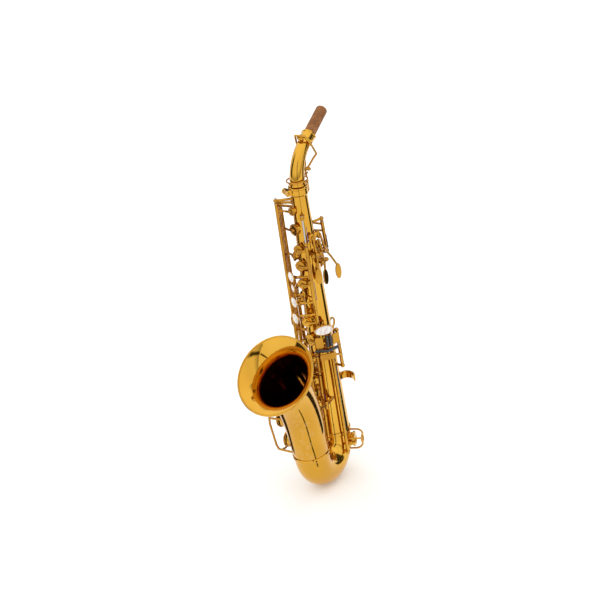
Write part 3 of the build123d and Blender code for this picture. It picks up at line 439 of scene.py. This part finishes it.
profile = [(CORK_INNER, CORK_LOW)]
CORK_ROWS = 60
for i in range(CORK_ROWS + 1):
    share = i / CORK_ROWS
    taper = 0.16 * MM * share
    rounding = 0.9 * MM * max(0.0, (share - 0.965) / 0.035) ** 2
    profile.append((CORK_OUTER - taper - rounding, CORK_LOW + (CORK_HIGH - CORK_LOW) * share))
profile.append((CORK_INNER, CORK_HIGH))
corners, faces = turned(profile, cork_middle, cork_way, 96)
for i, corner in enumerate(corners):
    outward = corner - cork_middle
    outward = (outward - cork_way * outward.dot(cork_way)).normalized()
    rough = noise.fractal(corner * 700, 1.0, 2.0, 4)
    corners[i] = corner + outward * min(0.0, rough) * 0.09 * MM
cork_piece = mesh_of("mouthpiece_cork_sheet", corners, faces, cork, "neck")
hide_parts("mouthpiece_cork")


# ------------------------------------------------------------------ finger pearls
# Domed discs of real mother of pearl pressed into turned brass cups, and one oval plate for the G
# sharp touch.  Their layers shimmer pink and green under a high polish.
pearl = Material("mother of pearl", Coat_Weight=0.8, Coat_Roughness=0.03, Subsurface_Weight=0.15,
                 Subsurface_Radius=(0.001, 0.0008, 0.0007), Subsurface_Scale=0.5)
sway = pearl.cloud(90.0, detail=2.0)
layers = pearl.node("ShaderNodeTexWave", {"wave_type": "BANDS", "bands_direction": "DIAGONAL"},
                    {"Vector": pearl.where(), "Scale": 60.0, "Distortion": 9.0, "Detail": 3.0,
                     "Detail Scale": 1.4}, out="Fac")
pearl.set("Base Color", pearl.shades(layers * 0.55 + sway * 0.45, (0.18, (0.70, 0.60, 0.60)),
                                     (0.40, (0.86, 0.80, 0.79)), (0.58, (0.80, 0.84, 0.78)),
                                     (0.82, (0.92, 0.84, 0.85))))
pearl.set("Roughness", 0.12 + 0.12 * layers)
pearl.relief(layers, 0.00003, 0.4)
dress(pearl, "pearl", *[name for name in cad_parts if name.startswith("pearl_")])


# ------------------------------------------------------------------ little-finger rollers
# Three polished black plastic rollers on brass rails let the little finger slide from plate to plate.
roller = Material("black roller", Coat_Weight=0.5, Coat_Roughness=0.05)
roller.set("Base Color", roller.shades(roller.cloud(300.0), (0.35, (0.008, 0.008, 0.009)),
                                       (0.7, (0.022, 0.021, 0.022))))
roller.set("Roughness", 0.16 + 0.14 * roller.cloud(900.0, stretch=(1, 1, 0.2)))
roller.relief(roller.cloud(1200.0), 0.00001, 0.3)
dress(roller, "roller_black", "table_rollers")


# ------------------------------------------------------------------ pivot steels and their screw heads
# Ground steel rods run through the posts and the hinge tubes; each is screwed home by the slot in
# its head.
steel = Material("ground steel", Metallic=1.0)
turning_marks = steel.cloud(1800.0, detail=2.0, stretch=(1, 1, 0.05))
steel.set("Base Color", steel.shades(turning_marks, (0.3, (0.36, 0.36, 0.37)), (0.7, (0.62, 0.61, 0.60))))
steel.set("Roughness", 0.2 + 0.16 * turning_marks)
steel.relief(turning_marks, 0.00001, 0.4)
dress(steel, "steel", "pivot_steels")


def solids_of(node):
    """The corner points of each separate solid that a CAD node holds."""
    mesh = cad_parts[node].data
    shape = bmesh.new()
    shape.from_mesh(mesh)
    bmesh.ops.remove_doubles(shape, verts=shape.verts[:], dist=1e-7)
    solids, met = [], set()
    for start in shape.verts:
        if start in met:
            continue
        met.add(start)
        waiting, members = [start], []
        while waiting:
            corner = waiting.pop()
            members.append(tuple(corner.co))
            for edge in corner.link_edges:
                other = edge.other_vert(corner)
                if other not in met:
                    met.add(other)
                    waiting.append(other)
        solids.append(np.array(members))
    shape.free()
    return solids


def slotted_head(centre, way, radius, thick, slot):
    """A low screw head in two halves either side of its slot, on a thin web."""
    turn = way.to_track_quat("Z", "Y").to_matrix()
    corners, faces = turned([(0.0, 0.0), (radius, 0.0), (radius, thick * 0.45), (0.0, thick * 0.45)],
                            centre, way, 32)
    for hand in (-1, 1):
        first = len(corners)
        steps = 14
        rim = []
        for i in range(steps + 1):
            angle = radians(12 + 156 * i / steps)
            rim.append((radius * cos(angle), max(radius * sin(angle), slot)))
        outline = [(x, y * hand) for x, y in rim]
        for inset, height in ((1.0, 0.0), (1.0, thick * 0.8), (0.9, thick)):
            corners.extend(centre + turn @ Vector((x * inset, y * inset, height)) for x, y in outline)
        count = len(outline)
        for row in range(2):
            for i in range(count):
                j = (i + 1) % count
                a, b = first + row * count + i, first + row * count + j
                faces.append((a, b, b + count, a + count))
        faces.append(tuple(range(first + 2 * count, first + 3 * count)))
    return corners, faces


head_corners, head_faces = [], []


def gather(corners, faces):
    first = len(head_corners)
    head_corners.extend(corners)
    head_faces.extend(tuple(first + i for i in face) for face in faces)


for points in solids_of("pivot_steels"):
    centre = points.mean(0)
    _, _, axes = np.linalg.svd(points - centre, full_matrices=False)
    way = Vector(axes[0])
    lengths = (points - centre) @ axes[0]
    for hand, reach in ((1, lengths.max()), (-1, -lengths.min())):
        head = Vector(centre) + way * hand * (float(reach) - 0.25 * MM)
        gather(*slotted_head(head, way * hand, 1.35 * MM, 0.75 * MM, 0.22 * MM))
mesh_of("pivot_screw_heads", head_corners, head_faces, steel, "root")


# ------------------------------------------------------------------ needle springs
# Hardened steel needles, tempered blue by heat, pressed into the posts to lift or close the keys.
blued = Material("blued spring steel", Metallic=1.0)
temper = blued.cloud(160.0, detail=1.0)
blued.set("Base Color", blued.shades(temper, (0.35, (0.02, 0.035, 0.16)), (0.55, (0.04, 0.09, 0.34)),
                                     (0.75, (0.16, 0.08, 0.20))))
blued.set("Roughness", 0.2 + 0.15 * blued.cloud(1500.0))
dress(blued, "blued_steel", "needle_springs")


# ------------------------------------------------------------------ thumb rest
# A small brass button soldered to the back of the body, on which the left thumb rests.
dress(key_brass_painted_shade, "lacquered_brass", "thumb_rest")
